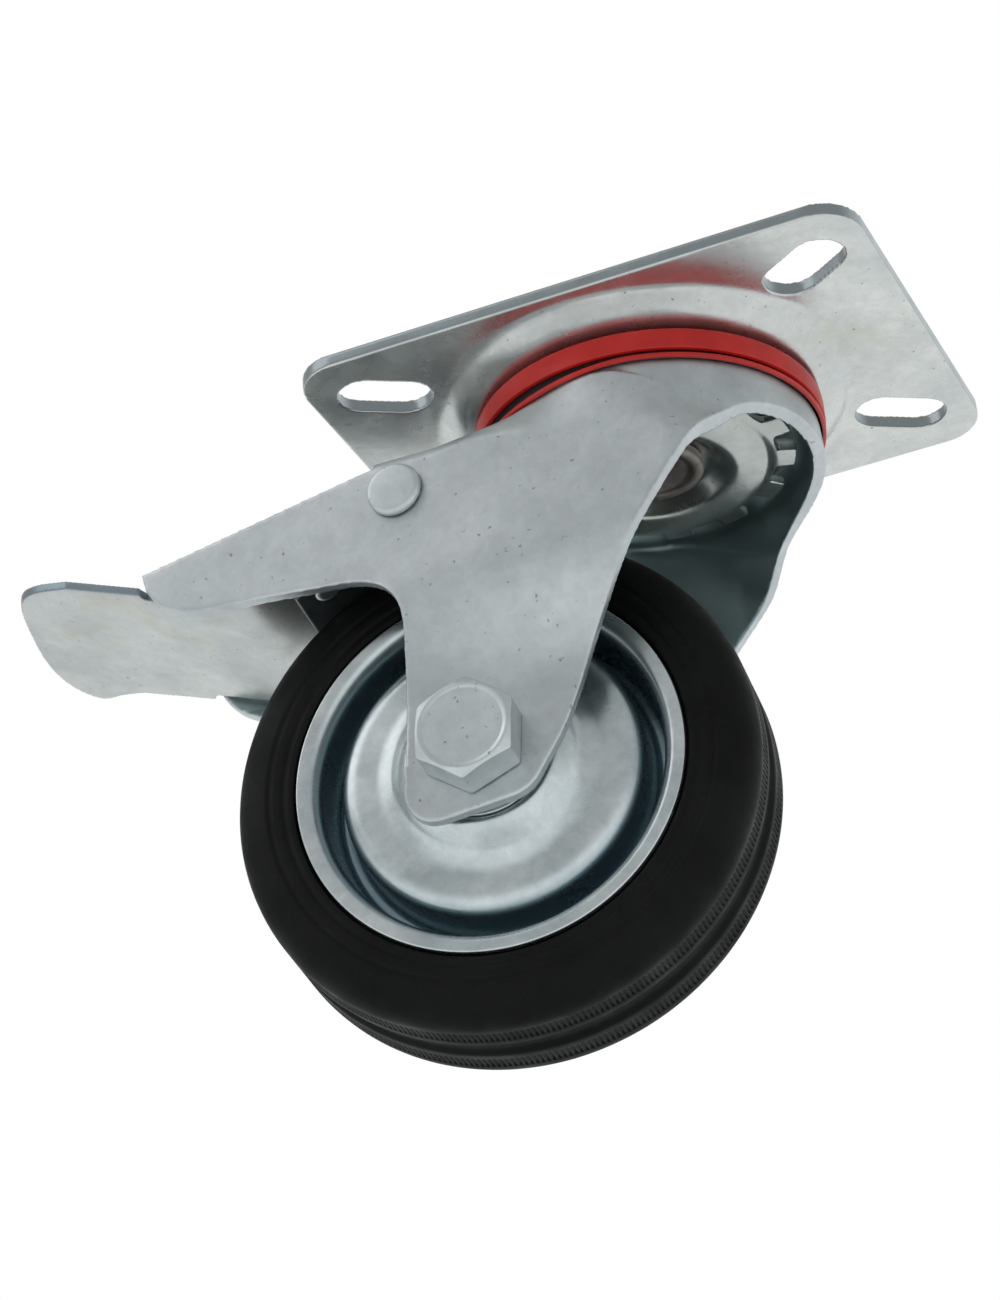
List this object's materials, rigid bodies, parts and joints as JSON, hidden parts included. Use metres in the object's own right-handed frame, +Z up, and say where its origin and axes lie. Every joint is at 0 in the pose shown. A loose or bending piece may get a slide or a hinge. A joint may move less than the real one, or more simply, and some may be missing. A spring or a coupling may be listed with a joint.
{
  "type": "swivel castor with a brake pedal",
  "caption": "Swivel plate castor: slotted top plate, pressed steel fork, rubber tyred wheel and a pedal that locks the wheel and the swivel.",
  "frame": {"origin": "on the swivel axis, level with the top plate's mounting face, at the middle of the kingpin's head", "axes": "+Z points up out of the mounting face, X runs along the plate's long side and the wheel trails towards -X, Y runs along the plate's short side"},
  "size_m": [0.1875, 0.087, 0.1321],
  "materials": {
    "zinc_plate": "bright zinc plated pressed steel, slightly mottled",
    "bright_zinc": "bright zinc plated, turned sheen",
    "forged_steel": "dark, oiled, unplated",
    "bearing_steel": "polished and greased",
    "dark_steel": "dull zinc, in shadow",
    "red_plastic": "semi-gloss moulded",
    "rubber_tyre": "black rubber, satin sides, ribbed tread"
  },
  "bodies": {
    "plate": {"top_plate": "zinc_plate", "kingpin": "forged_steel", "lock_race": "zinc_plate"},
    "upper_balls": {"upper_ball_1": "bearing_steel", "upper_ball_2": "bearing_steel", "upper_ball_3": "bearing_steel", "upper_ball_4": "bearing_steel", "upper_ball_5": "bearing_steel", "upper_ball_6": "bearing_steel", "upper_ball_7": "bearing_steel", "upper_ball_8": "bearing_steel", "upper_ball_cage": "dark_steel"},
    "lower_balls": {"lower_ball_1": "bearing_steel", "lower_ball_2": "bearing_steel", "lower_ball_3": "bearing_steel", "lower_ball_4": "bearing_steel", "lower_ball_5": "bearing_steel", "lower_ball_6": "bearing_steel", "lower_ball_7": "bearing_steel", "lower_ball_8": "bearing_steel", "lower_ball_cage": "dark_steel"},
    "fork": {"fork": "zinc_plate", "dust_seal": "red_plastic", "axle_bolt": "zinc_plate", "axle_nut": "zinc_plate", "axle_sleeve": "zinc_plate", "axle_washer_near": "zinc_plate", "axle_washer_far": "zinc_plate", "brake_pin": "zinc_plate", "return_spring": "bearing_steel"},
    "wheel": {"tyre": "rubber_tyre", "rim_near": "bright_zinc", "rim_far": "bright_zinc", "hub_tube": "zinc_plate"},
    "rollers": {"roller_1": "bearing_steel", "roller_2": "bearing_steel", "roller_3": "bearing_steel", "roller_4": "bearing_steel", "roller_5": "bearing_steel", "roller_6": "bearing_steel", "roller_7": "bearing_steel", "roller_8": "bearing_steel", "roller_cage": "dark_steel"},
    "brake": {"brake_pedal": "zinc_plate", "brake_shoe": "dark_steel", "lock_leaf": "dark_steel", "shoe_rivet_near": "zinc_plate", "shoe_rivet_far": "zinc_plate"}
  },
  "joints": [
    {"name": "swivel", "type": "hinge", "parent": "plate", "child": "fork", "pos_m": [0, 0, 0], "axis": [0, 0, 1], "continuous": true},
    {"name": "upper_ball_ring", "type": "hinge", "parent": "plate", "child": "upper_balls", "pos_m": [0, 0, 0], "axis": [0, 0, 1], "continuous": true},
    {"name": "lower_ball_ring", "type": "hinge", "parent": "plate", "child": "lower_balls", "pos_m": [0, 0, 0], "axis": [0, 0, 1], "continuous": true},
    {"name": "wheel_spin", "type": "hinge", "parent": "fork", "child": "wheel", "pos_m": [-0.03411, -0.00449, -0.0821], "axis": [-0.1305, 0.9914, 0], "continuous": true},
    {"name": "roller_ring", "type": "hinge", "parent": "fork", "child": "rollers", "pos_m": [-0.03411, -0.00449, -0.0821], "axis": [-0.1305, 0.9914, 0], "continuous": true},
    {"name": "brake_press", "type": "hinge", "parent": "fork", "child": "brake", "pos_m": [-0.04382, -0.00577, -0.0282], "axis": [0.1305, -0.9914, 0], "range_deg": [0, 8.5], "stiffness_Nm_per_rad": 0.5, "springref_deg": -8.59, "deforming": ["return_spring"]}
  ],
  "couplings": [
    {"joint": "upper_ball_ring", "follows": "swivel", "ratio": 0.5},
    {"joint": "lower_ball_ring", "follows": "swivel", "ratio": 0.5},
    {"joint": "roller_ring", "follows": "wheel_spin", "ratio": 0.588}
  ]
}
